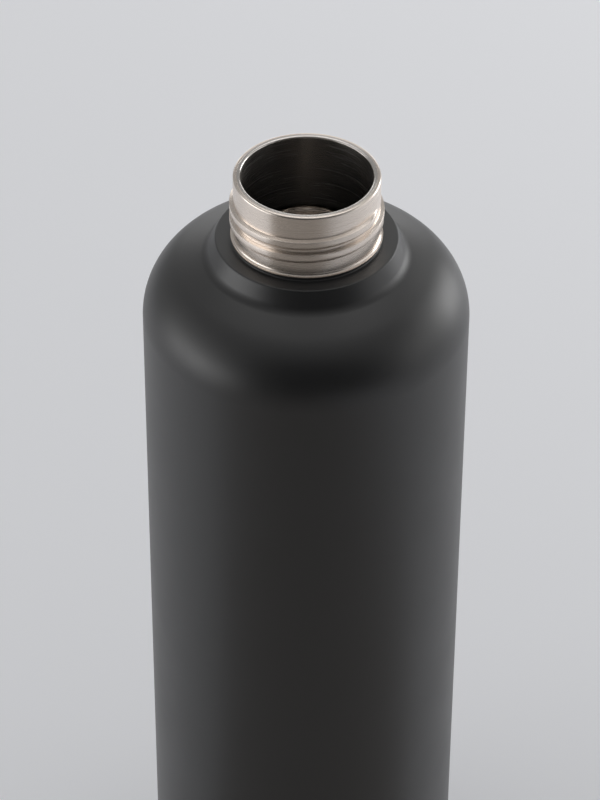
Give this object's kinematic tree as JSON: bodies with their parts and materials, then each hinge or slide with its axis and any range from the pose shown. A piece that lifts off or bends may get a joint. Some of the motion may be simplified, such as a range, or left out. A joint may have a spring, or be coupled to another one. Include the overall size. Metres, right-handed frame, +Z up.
{
  "type": "vacuum flask",
  "caption": "Tall double-wall vacuum flask without a cap: dark coated body with a domed shoulder, raised collar and bare steel neck with an outside screw thread.",
  "frame": {"origin": "centre of the foot ring, on the surface that the flask stands on", "axes": "+Z up along the flask's axis towards the mouth; the thread's upper end lies 15 degrees from +X towards -Y"},
  "size_m": [0.085, 0.085, 0.262],
  "materials": {
    "powder_coat": "matte black powder coat, very fine grain",
    "neck_steel": "bare stainless steel, turned, fine lines round the neck",
    "liner_steel": "bare stainless steel, electropolished, dull",
    "cover_steel": "bare stainless steel, spun",
    "copper_foil": "bright copper foil",
    "clip_steel": "plain strip",
    "getter_metal": "sintered metal powder, grainy",
    "seal_glass": "solder glass"
  },
  "bodies": {
    "root": {"outer_shell": "powder_coat", "threaded_neck": "neck_steel", "outer_base": "powder_coat", "base_cover": "cover_steel", "inner_liner": "liner_steel", "liner_bottom": "liner_steel", "radiation_foil": "copper_foil", "getter_holder": "clip_steel", "getter": "getter_metal", "vacuum_seal": "seal_glass"}
  },
  "joints": []
}
